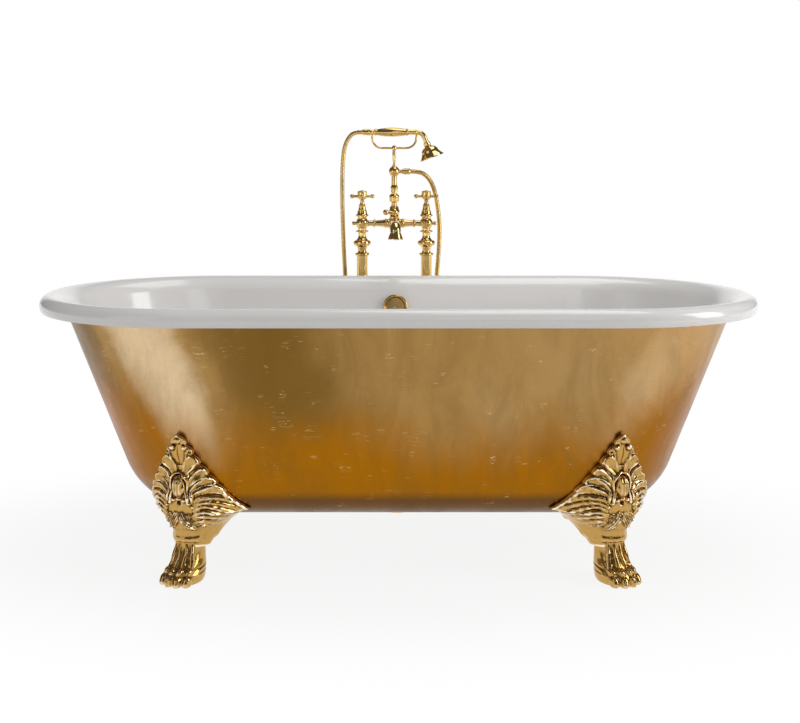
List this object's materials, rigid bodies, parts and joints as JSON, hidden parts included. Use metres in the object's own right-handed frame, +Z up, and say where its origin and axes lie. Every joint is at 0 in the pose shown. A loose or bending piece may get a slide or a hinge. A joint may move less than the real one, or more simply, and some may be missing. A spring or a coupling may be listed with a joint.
{
  "type": "roll-top bath with floor-standing mixer",
  "caption": "Double-ended cast iron roll-top bath on ornate claw feet, with pop-up waste and a two-pillar floor-standing bath mixer carrying a hand shower on a cradle.",
  "frame": {"origin": "on the floor, at the middle of the footprint of bath and mixer together", "axes": "+X along the bath to the right of someone facing its front, +Y from the bath towards the mixer, +Z up"},
  "size_m": [1.7, 0.9043, 1.021],
  "materials": {
    "casting": "aged gold leaf over iron",
    "enamel": "glossy white enamel",
    "feet": "polished gold",
    "fasteners": "zinc",
    "rubber": "matt",
    "brass": "polished",
    "hose": "polished, ribbed"
  },
  "bodies": {
    "root": {"tub_shell": "casting", "enamel_lining": "enamel", "foot_front_left": "feet", "foot_front_right": "feet", "foot_back_left": "feet", "foot_back_right": "feet", "foot_bolts": "fasteners", "foot_washers": "fasteners", "lift_cable": "fasteners", "waste_upper_gasket": "rubber", "waste_lower_gasket": "rubber", "overflow_gasket": "rubber", "waste_flange": "brass", "waste_body": "brass", "overflow_bezel": "brass", "overflow_elbow": "brass", "overflow_pipe": "brass", "overflow_nuts": "brass", "check_caps": "brass", "mixer_body": "brass", "spout": "brass", "diverter_housing": "brass", "riser_nut": "brass", "riser_tube": "brass", "riser_ball": "brass", "cradle": "brass", "hose_nut_outlet": "brass", "hot_floor_flange": "brass", "hot_standpipe": "brass", "hot_pillar": "brass", "hot_valve_body": "brass", "hot_bonnet": "brass", "hot_cartridge": "brass", "hot_bridge_arm": "brass", "cold_floor_flange": "brass", "cold_standpipe": "brass", "cold_pillar": "brass", "cold_valve_body": "brass", "cold_bonnet": "brass", "cold_cartridge": "brass", "cold_bridge_arm": "brass", "shower_hose": "hose"},
    "hot_handle": {"hot_spindle": "brass", "hot_cross_handle": "brass", "hot_index_cap": "brass"},
    "cold_handle": {"cold_spindle": "brass", "cold_cross_handle": "brass", "cold_index_cap": "brass"},
    "diverter": {"diverter_lever": "brass"},
    "handset": {"handset_grip": "brass", "handset_neck": "brass", "shower_rose": "brass", "rose_plate": "brass", "hose_nut_handset": "brass"},
    "dial": {"overflow_dial": "brass", "overflow_screw": "brass"},
    "plug": {"waste_plug": "brass", "plug_stem": "brass", "plug_seal": "rubber"}
  },
  "joints": [
    {"name": "hot_tap", "type": "hinge", "parent": "root", "child": "hot_handle", "pos_m": [-0.09, 0.405, 0.828], "axis": [0, 0, 1], "range_deg": [0, 90]},
    {"name": "cold_tap", "type": "hinge", "parent": "root", "child": "cold_handle", "pos_m": [0.09, 0.405, 0.828], "axis": [0, 0, 1], "range_deg": [-90, 0]},
    {"name": "diverter_turn", "type": "hinge", "parent": "root", "child": "diverter", "pos_m": [0, 0.3827, 0.7842], "axis": [0, 1, 0], "range_deg": [0, 90]},
    {"name": "handset_lift", "type": "slide", "parent": "root", "child": "handset", "axis": [0, 0, 1], "range_m": [0, 0.15], "deforming": ["shower_hose"]},
    {"name": "dial_turn", "type": "hinge", "parent": "root", "child": "dial", "pos_m": [0, 0.26195, 0.534], "axis": [0, -0.9806, 0.196], "range_deg": [0, 120]},
    {"name": "plug_lift", "type": "slide", "parent": "root", "child": "plug", "axis": [0, 0, 1], "range_m": [0, 0.012]}
  ],
  "couplings": [
    {"joint": "plug_lift", "follows": "dial_turn", "m_per_rad": 0.00572}
  ]
}
